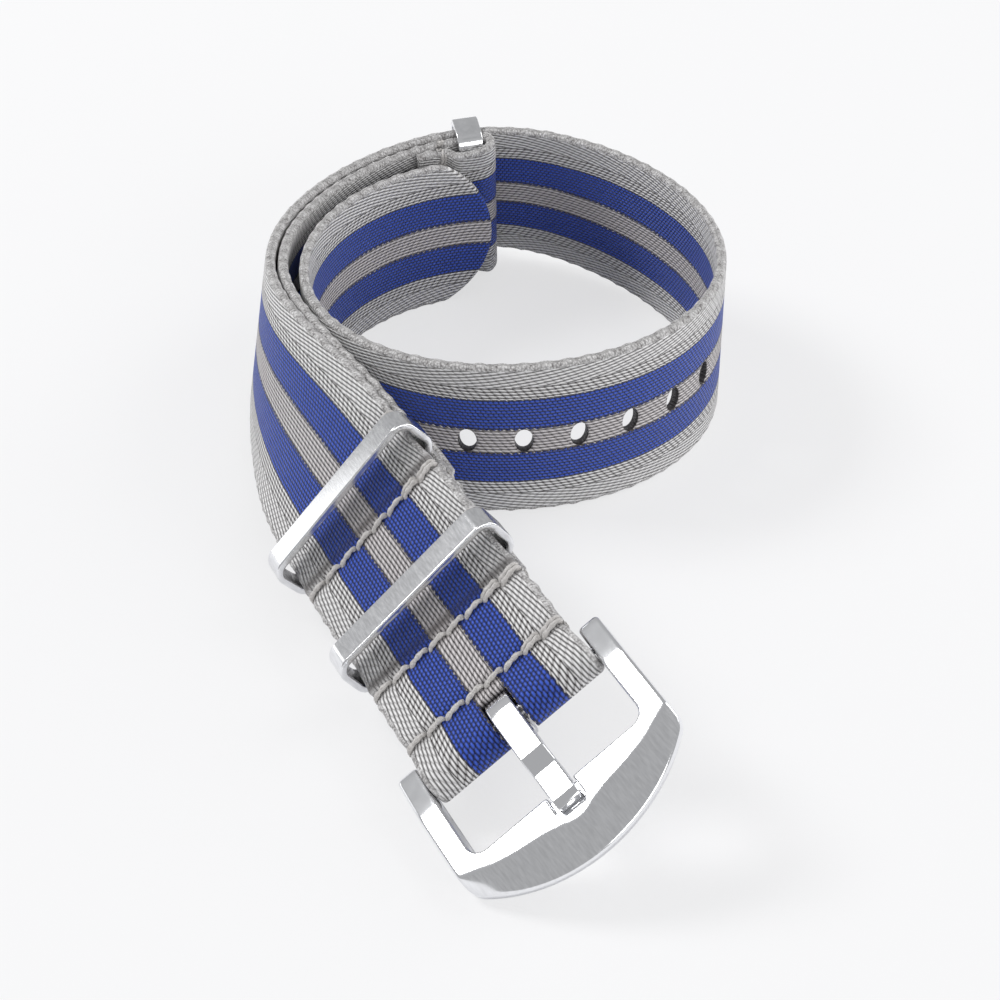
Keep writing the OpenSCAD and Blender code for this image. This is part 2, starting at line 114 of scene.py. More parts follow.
# How the strap lies on the table: how much it turns to the right, leans and stands off the table at each
# millimetre u from the buckle's bar. Every piece that is sewn, threaded or laid on it is placed from this.
lie_turn = ((0, 0), (45, 0.1), (60, 1.1), (75, 1.6), (90, 2.1), (105, 2.3), (120, 2.2), (135, 1.9),
            (150, 1.9), (165, 2.6), (180, 2.4), (195, 1.9), (210, 2.5), (225, 2.8), (240, 2.4), (270, 2.7))
lie_lean = ((8, 60), (16, 50.5), (30, 51.5), (45, 39), (60, 12.5), (75, 8), (90, 13), (105, 14.5), (120, 11),
            (140, 0.5), (150, 0))
lie_lift = ((0, 4.9), (35, 4.8), (60, 1.7), (80, 0.3), (100, 1), (118, 2.3), (135, 0.5), (150, 0))
half_width = 10.0
straight_start = 4.0
table_place = np.array((-24.1906, -36.7635, 0.0))


def from_table(rows, u):
    return np.interp(u, [row[0] for row in rows], [row[1] for row in rows])


def eased(rows, u):
    return sum(from_table(rows, u + d) for d in (-8, -4, 0, 4, 8)) / 5


def mid_height(u):
    return half_width * np.cos(np.radians(eased(lie_lean, u))) + eased(lie_lift, u)


def climb(u):
    return np.arcsin((mid_height(u + 1) - mid_height(u - 1)) / 2)


whole_mm = np.arange(292.0)
turned = from_table(lie_turn, whole_mm)
headings = np.radians(90 - np.concatenate(([0], np.cumsum((turned[1:] + turned[:-1]) / 2))))
half_mm = whole_mm[:-1] + 0.5
step_angle = np.interp(half_mm, whole_mm, headings)
step_climb = climb(np.maximum(half_mm, straight_start))
step_way = np.stack([np.cos(step_angle), np.sin(step_angle)], 1) * np.cos(step_climb)[:, None]
step_start = np.concatenate((np.zeros((1, 2)), np.cumsum(step_way, axis=0)))


def ways(u):
    """Across the strap, along it and out of its face, at u."""
    v = np.maximum(u, straight_start)
    angle, rise, tilt = np.interp(v, whole_mm, headings), climb(v), np.radians(eased(lie_lean, v))
    along = np.stack([np.cos(angle) * np.cos(rise), np.sin(angle) * np.cos(rise), np.sin(rise)], -1)
    inwards = np.stack([np.sin(angle), -np.cos(angle), 0 * angle], -1)
    upwards = np.cross(inwards, along)
    cos_tilt, sin_tilt = np.cos(tilt)[..., None], np.sin(tilt)[..., None]
    return cos_tilt * upwards + sin_tilt * inwards, along, sin_tilt * upwards - cos_tilt * inwards


def lay(u, x, n):
    """Places on the table, in metres, of points x across and n out of the long strap's middle at u."""
    u, x, n = (np.asarray(a, float) for a in (u, x, n))
    v = np.maximum(u, straight_start)
    i = np.floor(v).astype(int)
    across, along, outwards = ways(u)
    flat = step_start[i] + (v - i)[..., None] * step_way[i]
    middle = np.concatenate((flat, mid_height(v)[..., None]), -1) + (u - v)[..., None] * along
    return (middle + x[..., None] * across + n[..., None] * outwards + table_place) / 1000


def seat(u, n, lean=0.0):
    """Matrix that puts a piece, drawn with x across, y along and z outwards, on the strap at u."""
    across, along, outwards = (Vector(way) for way in ways(np.float64(u)))
    turn = Matrix((across, along, outwards)).transposed().to_4x4()
    return Matrix.Translation(lay(u, 0, n)) @ turn @ Matrix.Rotation(math.radians(-lean), 4, "X")


# Long strap, woven of silver grey nylon with two blue stripes. Its tail end is cut round and has a row of
# punched holes. The other end goes round the bar, is slotted for the tongue and is sewn under itself.
web_half_t = 0.6
layer = 1.3
bar_n = -1.6
loop_r = 1.6
seams = (3.7, 11.65, 20.1, 28.75, 37.8)
sewn_end = 40.6
keepers = (16.4, 33.5)
third_u = 115.0
pocket_n = -3.5129
fold_end = 39.4
strap_len = 270.0
tip_len = 6.4
stitch_len = 2.45
knot_turn, knot_shift, knot_high = 2.6, 1.1, 0.13


def smooth_line(corners, reach=0.9, step=0.1):
    """Arc lengths, places and outward ways of a layer's middle through corners, its bends rounded."""
    corners = np.array(corners, float)
    lengths = np.concatenate(([0], np.cumsum(np.linalg.norm(np.diff(corners, axis=0), axis=1))))
    s = np.linspace(0, lengths[-1], int(lengths[-1] / step))
    line = np.stack([np.interp(s, lengths, corners[:, k]) for k in (0, 1)], 1)
    width = int(reach / step) // 2 * 2 + 1
    padded = np.concatenate([line[:1] - (line[1:width + 1] - line[:1])[::-1], line,
                             line[-1:] + (line[-1:] - line[-width - 1:-1])[::-1]])
    for _ in (0, 1):
        padded = np.stack([np.convolve(padded[:, k], np.ones(width) / width, "same") for k in (0, 1)], 1)
    line = padded[width:-width]
    s = np.concatenate(([0], np.cumsum(np.linalg.norm(np.diff(line, axis=0), axis=1))))
    way = np.gradient(line, s, axis=0)
    way /= np.linalg.norm(way, axis=1)[:, None]
    return s, line, np.stack([way[:, 1], -way[:, 0]], 1)


def pocket(u, under=0.0):
    """Corners of a layer's way round a keeper's lower bar at u, under millimetres below the fold."""
    top_n, low_n = -layer - under, pocket_n - under
    return [(u - 4.15, top_n), (u - 1.9, low_n), (u + 1.9, low_n), (u + 3.7, top_n)]


meet = (seams[0] - 0.4, -layer)
loop_end = 360 + math.degrees(math.atan2(meet[1] - bar_n, meet[0])
                              - math.acos(loop_r / math.hypot(meet[0], meet[1] - bar_n)))
round_bar = [(loop_r * math.cos(math.radians(a)), bar_n + loop_r * math.sin(math.radians(a)))
             for a in np.linspace(90, loop_end, 40)]
long_line = smooth_line([(strap_len, 0)] + round_bar + [meet] + pocket(keepers[0]) + pocket(keepers[1])
                        + [(fold_end, -layer)])
long_end = long_line[0][-1]


def sewn_half_width(u):
    """Half the width of the strap, drawn in by its seams and keepers and spread at the bar."""
    drawn = 0.1 * np.clip(1 - (u - sewn_end) / 6, 0, 1)
    pinch = 0.15 * sum(np.exp(-((u - seam) / 0.9) ** 2) for seam in seams)
    pinch += 0.20 * sum(np.exp(-((u - keeper) / 2.2) ** 2) for keeper in keepers)
    return half_width - drawn - pinch + 0.30 * np.exp(-((u + 0.6) / 2.2) ** 2)


def edge_round(inside):
    """How much of its thickness the webbing keeps at a distance inside its edge."""
    return (1 - np.clip(1 - inside / 0.62, 0, 1) ** 2.4) ** (1 / 2.4)


# the depth also darkens the face with painted shade in the stitches' dips
def pull_and_painted_shade(u, x, rows):
    """How far stitches pull the face in, in millimetres, along their row and at their ends."""
    depth = np.zeros_like(u)
    for seam in rows:
        near = np.exp(-((u - seam) / 0.75) ** 2)
        ends = np.cos(x * math.pi / stitch_len) ** 8 * np.exp(-((u - seam) / 0.45) ** 2)
        depth += 0.20 * near + 0.22 * ends
    return depth


def points_of(piece):
    co = np.empty(len(piece.data.vertices) * 3)
    piece.data.vertices.foreach_get("co", co)
    return co.reshape(-1, 3)


def woven_band(name, row_marks, cut=lambda s: half_width):
    """Flat band of one layer as a grid, cut to a half width along it, its rows at row_marks."""
    columns = 50
    bpy.ops.mesh.primitive_grid_add(x_subdivisions=columns, y_subdivisions=len(row_marks) - 1, size=1)
    band = bpy.context.object
    band.name = band.data.name = name
    at_edge = half_width - np.array((0, 0.03, 0.12, 0.28, 0.55))
    at_holes = (1.8, 1.5, 1.2, 0.9, 0.6, 0.3)
    between = np.linspace(9.05, 2.1, columns // 2 - len(at_edge) - len(at_holes))
    one_side = np.concatenate((at_edge, between, at_holes))
    marks = np.concatenate((-one_side, (0,), one_side[::-1]))
    co = points_of(band)
    x = np.interp((co[:, 0] + 0.5) * columns, range(columns + 1), marks)
    s = np.interp((co[:, 1] + 0.5) * (len(row_marks) - 1), range(len(row_marks)), row_marks)
    co[:] = np.stack([x * cut(s) / half_width, s, 0 * x], 1) / 1000
    band.data.vertices.foreach_set("co", co.ravel())
    return band


def punch(band, inside, rim):
    """Cuts the faces whose middles are inside, and draws the cut's rim to its outline."""
    bpy.ops.object.mode_set(mode="EDIT")
    bpy.ops.mesh.select_all(action="DESELECT")
    bpy.ops.object.mode_set(mode="OBJECT")
    for face in band.data.polygons:
        face.select = inside(face.center.x * 1000, face.center.y * 1000)
    bpy.ops.object.mode_set(mode="EDIT")
    bpy.ops.mesh.select_mode(type="FACE")
    bpy.ops.mesh.delete(type="FACE")
    bpy.ops.mesh.select_mode(type="VERT")
    bpy.ops.mesh.select_non_manifold()
    bpy.ops.object.mode_set(mode="OBJECT")
    for point in band.data.vertices:
        if point.select:
            moved = rim(point.co.x * 1000, point.co.y * 1000)
            if moved:
                point.co.x, point.co.y = moved[0] / 1000, moved[1] / 1000


def thicken(band):
    wall = band.modifiers.new("wall", "SOLIDIFY")
    wall.thickness = 0.002 * web_half_t
    wall.offset = 0
    bpy.ops.object.modifier_apply(modifier="wall")


def face_outwards(merge_first=False):
    """Turns the active piece's faces outwards, after its doubled points are merged where asked."""
    bpy.ops.object.mode_set(mode="EDIT")
    bpy.ops.mesh.select_all(action="SELECT")
    if merge_first:
        bpy.ops.mesh.remove_doubles(threshold=0.000001)
    bpy.ops.mesh.normals_make_consistent(inside=False)
    bpy.ops.object.mode_set(mode="OBJECT")


def fold_and_lay(band, line, half_w, press, inside_edge):
    """Lays a flat band along its line: keeps each point's flat place for the weave, then bends it."""
    x, s, h = (points_of(band) * 1000).T
    flat = band.data.attributes.new("weave_place", "FLOAT_VECTOR", "POINT")
    flat.data.foreach_set("vector", np.stack([x, s, h], 1).ravel())
    lengths, places, out_way = line
    u, n = (np.interp(s, lengths, places[:, k]) for k in (0, 1))
    side = np.sign(h)
    # knots along the selvedge, none where steel lies against it
    selvedge = np.exp(-((half_width - np.abs(x)) / 0.45) ** 2)
    knots = np.sin(s * knot_turn + np.sign(x) * knot_shift) * (0.8 + 0.2 * np.sin(s * 1.7))
    near_steel = sum(np.exp(-((u - steel_u) / 2.6) ** 2) for steel_u in (0, 3.2, *keepers, third_u))
    knots = np.maximum(knots, -0.3) * (1 - np.minimum(near_steel, 1))
    h = side * web_half_t * edge_round(inside_edge(x, s)) * (1 + 0.06 * selvedge * knots)
    pull = press(u, x, side, s)
    h = h - side * pull
    # kept for the painted shade in the stitches' dips and the painted shade in the outer layer's hollows
    # beside the keepers
    painted_hollow_shade = 0.40 * sum(np.exp(-((u - keeper + 3.4) / 0.75) ** 2) for keeper in keepers)
    outer_layer = (side > 0) & (n > -0.9)
    shaded = band.data.attributes.new("pull_and_painted_shade", "FLOAT", "POINT")
    shaded.data.foreach_set("value", np.maximum(pull, np.where(outer_layer, painted_hollow_shade, 0)))
    x = x / half_width * half_w(u) + np.sign(x) * selvedge * knot_high * knots
    out_u, out_n = (np.interp(s, lengths, out_way[:, k]) for k in (0, 1))
    laid = lay(u + h * out_u, x, n + h * out_n)
    laid[:, 2] = np.maximum(laid[:, 2], 0)
    band.data.vertices.foreach_set("co", laid.ravel())
    band.data.update()
    face_outwards()
    bpy.ops.object.shade_smooth()
    band.select_set(False)


first_hole, hole_pitch, hole_count = 47.6, 6.25, 9
hole_places = [first_hole + hole_pitch * i for i in range(hole_count)]
hole_half_w, hole_half_l = 1.55, 1.05
over_hole = (-1.6, -1.3, -1.05, -0.8, -0.55, -0.3, 0, 0.3, 0.55, 0.8, 1.05, 1.3, 1.6)
near_holes = [hole + d for hole in hole_places for d in over_hole]
between_holes = [hole + d for hole in hole_places[:-1] for d in (2.2, 2.8, 3.45, 4.05)]
coil_len = strap_len - 46
long_marks = np.concatenate((np.linspace(0, 3, 13) ** 2 / 3, np.arange(3.5, hole_places[0] - 2, 0.6),
                             near_holes, between_holes, np.arange(hole_places[-1] + 2.2, coil_len, 0.6),
                             np.arange(coil_len, long_end, 0.35), (long_end,)))
tip_r = (tip_len ** 2 + half_width ** 2) / (2 * tip_len)


def tip_half_width(s):
    d = np.minimum(s, tip_len)
    return np.sqrt(np.maximum(d * (2 * tip_r - d), 0.02))


long_strap = woven_band("striped_long_strap", np.sort(long_marks), tip_half_width)


def from_hole(x, s, hole):
    """Distance from a hole's middle, 1 on its oval rim."""
    return np.hypot(x / hole_half_w, (s - hole) / hole_half_l)


def in_hole(x, s):
    return any(from_hole(x, s, hole) < 1 for hole in hole_places)


def hole_rim(x, s):
    for hole in hole_places:
        away = from_hole(x, s, hole)
        if away < 1.6:
            return x / away, hole + (s - hole) / away


punch(long_strap, in_hole, hole_rim)
slot_half_w = 1.6
slot_from, slot_to = strap_len - 2.3, strap_len + 2 * math.pi * loop_r * 0.62


def in_slot(x, s):
    return abs(x) < slot_half_w + 0.2 and slot_from < s < slot_to


def slot_rim(x, s):
    if slot_from - 1 < s < slot_to + 1 and abs(x) < slot_half_w + 0.8:
        return (math.copysign(slot_half_w, x) if abs(x) > slot_half_w - 0.15 else x), s


punch(long_strap, in_slot, slot_rim)
thicken(long_strap)


def long_inside(x, s):
    tip_edge = np.hypot(x, s - tip_r)
    return np.minimum(half_width - np.abs(x), np.where(s < tip_len, tip_r - tip_edge, 9)) + 0.02


def rim_press(x, s):
    """How far the punch pressed the faces down round the holes."""
    away = np.min([from_hole(x, s, hole) for hole in hole_places], axis=0)
    return 0.08 * np.exp(-((away - 1) / 0.28) ** 2)


def long_press(u, x, side, s):
    return np.where(side > 0, pull_and_painted_shade(u, x, seams), 0) + rim_press(x, s)


fold_and_lay(long_strap, long_line, sewn_half_width, long_press, long_inside)
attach(long_strap, "strap")
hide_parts("main_strap")

nylon, weave, shade = new_material("striped_nylon")


def figure(operation, *terms):
    """One step of the weave's reckoning, its terms plain numbers or what earlier steps give."""
    made = weave.nodes.new("ShaderNodeMath")
    made.operation = operation
    for socket, term in zip(made.inputs, terms):
        if isinstance(term, (int, float)):
            socket.default_value = term
        else:
            weave.links.new(term, socket)
    return made.outputs[0]


def plus(a, b):
    return figure("ADD", a, b)


def minus(a, b):
    return figure("SUBTRACT", a, b)


def times(a, b):
    return figure("MULTIPLY", a, b)


def speckle(tree, place, scale, detail=2.0):
    """Uneven spots all over, finer with a larger scale."""
    made = tree.nodes.new("ShaderNodeTexNoise")
    made.inputs["Scale"].default_value = scale
    made.inputs["Detail"].default_value = detail
    tree.links.new(place, made.inputs["Vector"])
    return made.outputs["Fac"]


def raise_face(tree, shade, height, distance, strength=1.0):
    bump = tree.nodes.new("ShaderNodeBump")
    bump.inputs["Distance"].default_value = distance
    bump.inputs["Strength"].default_value = strength
    tree.links.new(height, bump.inputs["Height"])
    tree.links.new(bump.outputs[0], shade.inputs["Normal"])


def colour_mix(tree, fac, a, b):
    """Colour from a to b as fac goes from 0 to 1."""
    mixed = tree.nodes.new("ShaderNodeMix")
    mixed.data_type = "RGBA"
    tree.links.new(fac, mixed.inputs[0])
    for socket, colour in ((mixed.inputs[6], a), (mixed.inputs[7], b)):
        if isinstance(colour, tuple):
            socket.default_value = (*colour, 1)
        else:
            tree.links.new(colour, socket)
    return mixed.outputs[2]


woven_at = weave.nodes.new("ShaderNodeAttribute")
woven_at.attribute_name = "weave_place"
place = woven_at.outputs["Vector"]
parts = weave.nodes.new("ShaderNodeSeparateXYZ")
weave.links.new(place, parts.inputs[0])
x_mm, s_mm, h_mm = parts.outputs
# the yarns wander a little
x_yarn = plus(x_mm, times(minus(speckle(weave, place, 0.4), 0.5), 0.12))
away = figure("ABSOLUTE", x_yarn)
# the stripes' borders and where the twill lines begin to run outwards, from the middle
blue_from, blue_to, twill_from = 1.65, 5.65, 7.35
ragged = plus(away, times(figure("SINE", times(s_mm, 8.0)), 0.09))
blue = times(figure("GREATER_THAN", ragged, blue_from), figure("LESS_THAN", ragged, blue_to))
outer = figure("GREATER_THAN", away, twill_from)
centre = figure("LESS_THAN", away, blue_from)
# the yarns' numbers and the place within each; 21 and 100 only keep the numbers above 0
yarn_w, twill_w, twill_slant = 0.415, 0.42, 0.15
yarn_along = figure("DIVIDE", plus(x_yarn, 21.0), yarn_w)
yarn_aslant = figure("DIVIDE", minus(plus(away, 100.0), times(s_mm, twill_slant)), twill_w)
yarn = plus(yarn_along, times(outer, minus(yarn_aslant, yarn_along)))
yarn_no = figure("FLOOR", yarn)
yarn_at = minus(figure("FRACT", yarn), 0.5)
groove = figure("POWER", figure("ABSOLUTE", times(yarn_at, 2.0)), 2.3)
# dashes that step sideways from yarn to yarn, shorter in the blue
per_mm = plus(1.163, times(blue, 0.62))
step = times(yarn_no, plus(0.37, times(blue, 0.13)))
slant = times(yarn_at, minus(0.55, times(blue, 0.32)))
dash = figure("FRACT", plus(plus(times(s_mm, per_mm), slant), step))
dip = figure("POWER", figure("ABSOLUTE", minus(times(dash, 2.0), 1.0)), 2.8)
height = minus(minus(1.0, groove), times(dip, 0.6))
# how dark the dips are: most in the blue, least in the twill lines
dip_dark = plus(0.62, times(blue, 0.23))
dip_dark = minus(dip_dark, times(outer, 0.37))
dip_dark = minus(dip_dark, times(centre, 0.24))
deep = figure("MINIMUM", plus(groove, times(dip, dip_dark)), 1.0)
deep = times(deep, minus(1.0, times(outer, 0.10)))
# a dark gap where the colours meet
for border in (blue_from, blue_to):
    off = figure("ABSOLUTE", minus(away, border))
    gap = times(figure("LESS_THAN", off, 0.11), figure("LESS_THAN", dash, 0.75))
    deep = figure("MAXIMUM", deep, times(gap, 0.95))
# looped yarns along the selvedge, a little darker between its knots
loops = weave.nodes.new("ShaderNodeTexVoronoi")
loops.inputs["Scale"].default_value = 4.2
weave.links.new(place, loops.inputs["Vector"])
selvedge = figure("GREATER_THAN", figure("ABSOLUTE", x_mm), half_width - 0.5)
knot = figure("SINE", plus(times(s_mm, knot_turn), times(figure("SIGN", x_mm), knot_shift)))
loop_deep = plus(times(loops.outputs["Distance"], 0.8), times(minus(1.0, knot), 0.08))
deep = plus(deep, times(selvedge, minus(loop_deep, deep)))
height = plus(height, times(selvedge, minus(minus(1.0, loop_deep), height)))
# painted shade: the cut walls of the holes are coloured near black, as the shade inside them
near_middle = times(figure("LESS_THAN", figure("ABSOLUTE", x_mm), 2.0), figure("LESS_THAN", s_mm, 110.0))
painted_wall_shade = times(figure("LESS_THAN", figure("ABSOLUTE", h_mm), 0.57), near_middle)
# painted shade where stitches pull the face in and in the hollows beside the keepers
painted_dip_shade = weave.nodes.new("ShaderNodeAttribute")
painted_dip_shade.attribute_name = "pull_and_painted_shade"
deep = figure("MAXIMUM", deep, figure("MINIMUM", times(painted_dip_shade.outputs["Fac"], 2.1), 0.9))
raise_face(weave, shade, height, 0.00020)
fleck = speckle(weave, place, 2.6, 4)
grey_top = colour_mix(weave, fleck, (0.70, 0.69, 0.69), (0.97, 0.965, 0.96))
centre_top = colour_mix(weave, fleck, (0.52, 0.485, 0.49), (0.84, 0.81, 0.815))
grey = colour_mix(weave, deep, colour_mix(weave, centre, grey_top, centre_top), (0.055, 0.045, 0.043))
blue_top = colour_mix(weave, fleck, (0.028, 0.070, 0.40), (0.060, 0.143, 0.74))
blue_yarn = colour_mix(weave, deep, blue_top, (0.008, 0.014, 0.075))
# the nylon's colour with the painted shade of the holes' walls, dips and hollows; no wear is drawn
nylon_with_painted_shade = colour_mix(weave, painted_wall_shade, colour_mix(weave, blue, grey, blue_yarn), (0.035, 0.032, 0.035))
weave.links.new(nylon_with_painted_shade, shade.inputs["Base Color"])
shade.inputs["Roughness"].default_value = 0.45
shade.inputs["Specular IOR Level"].default_value = 0.28
shade.inputs["Sheen Weight"].default_value = 0.11
shade.inputs["Sheen Roughness"].default_value = 0.4
long_strap.data.materials.append(nylon)


# Short strap of the same webbing, sewn under the long one before and behind the upper keeper. Its other
# end is folded round the third ring's bar and sewn.
short_n = -1.5
third_n = -2.96313
third_loop_r = short_n - third_n
third_bend = third_u + 1.5
third_seam = third_u - 4.4
third_back_n = short_n - layer
seam_under = -2 * layer
third_fold = [(third_bend + third_loop_r * math.cos(math.radians(a)),
               third_n + third_loop_r * math.sin(math.radians(a))) for a in np.linspace(90, -90, 20)]
short_line = smooth_line([(26.8, seam_under)] + pocket(keepers[1], layer)
                         + [(fold_end, seam_under), (44.7, -2.05), (50, short_n)] + third_fold
                         + [(third_u - 1.9, third_n - third_loop_r), (third_seam + 0.6, third_back_n),
                            (third_seam - 3.6, third_back_n)])
short_end = short_line[0][-1]
short_marks = np.concatenate((np.arange(0, 14, 0.3), np.arange(14, 72, 0.5), np.arange(72, short_end, 0.3),
                              (short_end,)))
short_strap = woven_band("striped_short_strap", short_marks)
thicken(short_strap)


def short_half_width(u):
    start = 0.1 * np.clip(1 - (u - sewn_end) / 6, 0, 1)
    flare = 0.6 * np.exp(-((u - third_u - 2.5) / 2.2) ** 2)
    pinch = 0.2 * sum(np.exp(-((u - row) / 0.9) ** 2) for row in (*seams[3:], third_seam))
    return half_width - start + flare - pinch


def short_press(u, x, side, s):
    return np.where(side > 0, pull_and_painted_shade(u, x, (third_seam,)), pull_and_painted_shade(u, x, seams[3:]))


def short_inside(x, s):
    return np.minimum(half_width - np.abs(x), np.minimum(s, short_end - s) * 2 + 0.3) + 0.02


fold_and_lay(short_strap, short_line, short_half_width, short_press, short_inside)
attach(short_strap, "strap")
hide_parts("short_strap")
short_strap.data.materials.append(nylon)


# Keeper rings and the short strap's ring, bent from flat steel and welded under the strap: broad faces
# brushed, edges polished. The lower bar of each lies in a pocket of the webbing.
satin_steel, tree, shade = new_material("satin_steel")
own = tree.nodes.new("ShaderNodeAttribute")
own.attribute_name = "own_place"
stretch = tree.nodes.new("ShaderNodeMapping")
stretch.inputs["Scale"].default_value = (4.5, 0.8, 0.8)
tree.links.new(own.outputs["Vector"], stretch.inputs["Vector"])
grain = speckle(tree, stretch.outputs[0], 1.0, 5)
brushed = colour_mix(tree, grain, (0.62, 0.625, 0.635), (0.96, 0.965, 0.98))
tree.links.new(brushed, shade.inputs["Base Color"])
raise_face(tree, shade, grain, 0.00001, 0.2)
shade.inputs["Metallic"].default_value = 1


def dull_unevenly(tree, shade, spots, least, most):
    spread = tree.nodes.new("ShaderNodeMapRange")
    spread.inputs["To Min"].default_value = least
    spread.inputs["To Max"].default_value = most
    tree.links.new(spots, spread.inputs["Value"])
    tree.links.new(spread.outputs[0], shade.inputs["Roughness"])


dull_unevenly(tree, shade, grain, 0.11, 0.19)


def keep_own_place(piece):
    own_place = piece.data.attributes.new("own_place", "FLOAT_VECTOR", "POINT")
    own_place.data.foreach_set("vector", points_of(piece).ravel() * 1000)


def pick_edges(piece, wanted):
    """Selects in edit mode the edges whose two ends pass the test, both in millimetres."""
    bpy.ops.mesh.select_mode(type="EDGE")
    bpy.ops.mesh.select_all(action="DESELECT")
    bpy.ops.object.mode_set(mode="OBJECT")
    for edge in piece.data.edges:
        a, b = (piece.data.vertices[i].co * 1000 for i in edge.vertices)
        edge.select = wanted(a, b)
    bpy.ops.object.mode_set(mode="EDIT")


def pick_faces(piece, wanted):
    bpy.ops.mesh.select_mode(type="FACE")
    bpy.ops.mesh.select_all(action="DESELECT")
    bpy.ops.object.mode_set(mode="OBJECT")
    for face in piece.data.polygons:
        face.select = wanted(face)
    bpy.ops.object.mode_set(mode="EDIT")


def soften_edges(piece, width, segments, least_turn):
    softened = piece.modifiers.new("softened", "BEVEL")
    softened.width = width / 1000
    softened.segments = segments
    softened.angle_limit = math.radians(least_turn)
    softened.use_clamp_overlap = False
    bpy.ops.object.modifier_apply(modifier="softened")


def even_shine(piece, sharp_turn):
    """Shades the rounded edges smooth and lets the broad faces stay flat."""
    bpy.ops.object.shade_smooth_by_angle(angle=math.radians(sharp_turn))
    even = piece.modifiers.new("even", "WEIGHTED_NORMAL")
    even.keep_sharp = True
    bpy.ops.object.modifier_apply(modifier="even")


ring_w, ring_h, ring_band, ring_wall, ring_corner = 22.0, 5.8, 3.2, 0.8, 1.9


def steel_ring(name, node_name, body, place):
    bpy.ops.mesh.primitive_cube_add(size=1)
    ring = bpy.context.object
    ring.name = ring.data.name = name
    bpy.ops.object.mode_set(mode="EDIT")
    bpy.ops.mesh.select_all(action="SELECT")
    bpy.ops.transform.resize(value=(ring_w / 1000, ring_band / 1000, ring_h / 1000))
    pick_edges(ring, lambda a, b: abs(a.y - b.y) > 1)
    bpy.ops.mesh.bevel(offset=ring_corner / 1000, segments=10, affect="EDGES")
    pick_faces(ring, lambda face: abs(face.normal.y) > 0.9)
    bpy.ops.mesh.inset(thickness=ring_wall / 1000)
    bpy.ops.mesh.bridge_edge_loops()
    bpy.ops.object.mode_set(mode="OBJECT")
    soften_edges(ring, 0.16, 3, 50)
    ring.data.transform(Matrix.Translation((0, 0, (ring_h - ring_wall) / 2000)))
    keep_own_place(ring)
    ring.data.transform(place)
    even_shine(ring, 35)
    ring.data.materials.append(satin_steel)
    ring.select_set(False)
    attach(ring, body)
    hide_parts(node_name)


keeper_n, ring_lean = -1.75645, 8
turned_a_little = Matrix.Rotation(math.radians(2.5), 4, "Z")
for keeper_name, keeper in zip(("lower_keeper", "upper_keeper"), keepers):
    steel_ring(keeper_name + "_ring", keeper_name, keeper_name,
               seat(keeper, keeper_n, ring_lean) @ turned_a_little)
steel_ring("short_strap_end_ring", "short_strap_ring", "third_ring", seat(third_u, third_n, -ring_lean))


# Stitches. Each seam is one row of slanted stitches of two-ply grey thread on either face. The thread dives
# into the webbing at each stitch's end, and the row is sewn over a second time at its upper edge.
grey_thread, tree, shade = new_material("grey_thread")
lint = speckle(tree, tree.nodes.new("ShaderNodeTexCoord").outputs["Object"], 5200, 3)
spun = colour_mix(tree, lint, (0.20, 0.185, 0.175), (0.74, 0.72, 0.70))
tree.links.new(spun, shade.inputs["Base Color"])
raise_face(tree, shade, lint, 0.00003)
shade.inputs["Roughness"].default_value = 0.45
shade.inputs["Sheen Weight"].default_value = 0.3
thread_r, ply_len = 0.31, 1.9
thread_rise, thread_dive, dive_len, stitch_slant = 0.10, 0.95, 0.42, 0.26


def sewn_run(u_row, face, side, x_from, stitches, aside):
    """One thread along a row, from x_from, on the face at height face whose outward side is side."""
    bpy.ops.mesh.primitive_grid_add(x_subdivisions=stitches * 18, y_subdivisions=10, size=1)
    run = bpy.context.object
    co = points_of(run)
    t, turn = (co[:, 0] + 0.5) * stitches, (co[:, 1] + 0.5) * 2 * math.pi

    def path(t):
        part = t - np.floor(t)
        x = x_from + stitch_len * (t - 0.6 * np.sin(2 * math.pi * part) / (2 * math.pi))
        end = np.minimum(part, 1 - part) * stitch_len
        rise = thread_rise - thread_dive * np.exp(-(end / dive_len) ** 2)
        return x, rise, stitch_slant * np.sin(math.pi * (part - 0.5))

    (x, rise, slant), (x_on, rise_on, _), (x_off, rise_off, _) = path(t), path(t + 0.01), path(t - 0.01)
    way = np.hypot(x_on - x_off, rise_on - rise_off)
    up_x, up_n = -(rise_on - rise_off) / way, (x_on - x_off) / way
    r = thread_r * (0.82 + 0.18 * np.cos(2 * (turn - 2 * math.pi * x / ply_len)))
    out_by = r * np.cos(turn)
    co[:] = lay(u_row + aside + slant + r * np.sin(turn), x + out_by * up_x,
                face + side * (rise + out_by * up_n))
    run.data.vertices.foreach_set("co", co.ravel())
    return run


def seam_thread(name, node_name, u_row, outer, inner):
    runs = []
    for face, side in ((outer, 1), (inner, -1)):
        runs.append(sewn_run(u_row, face, side, -4 * stitch_len, 8, 0.0))
        runs.append(sewn_run(u_row, face + 0.06 * side, side, 2 * stitch_len, 2, 0.42))
    for run in runs:
        run.select_set(True)
    bpy.context.view_layer.objects.active = runs[0]
    bpy.ops.object.join()
    thread = bpy.context.object
    thread.name = thread.data.name = name
    face_outwards(merge_first=True)
    bpy.ops.object.shade_smooth()
    thread.data.materials.append(grey_thread)
    thread.select_set(False)
    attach(thread, "strap")
    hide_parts(node_name)


two_down, three_down = -layer - web_half_t, -2 * layer - web_half_t
seam_thread("stitches_at_the_bar", "thread_bar", seams[0], web_half_t, two_down)
seam_thread("stitches_before_lower_keeper", "thread_lower_keeper_front", seams[1], web_half_t, two_down)
seam_thread("stitches_behind_lower_keeper", "thread_lower_keeper_back", seams[2], web_half_t, two_down)
seam_thread("stitches_before_upper_keeper", "thread_upper_keeper_front", seams[3], web_half_t, three_down)
seam_thread("stitches_behind_upper_keeper", "thread_upper_keeper_back", seams[4], web_half_t, three_down)
seam_thread("stitches_of_the_ring_loop", "thread_ring_loop", third_seam, short_n + web_half_t,
            third_back_n - web_half_t)


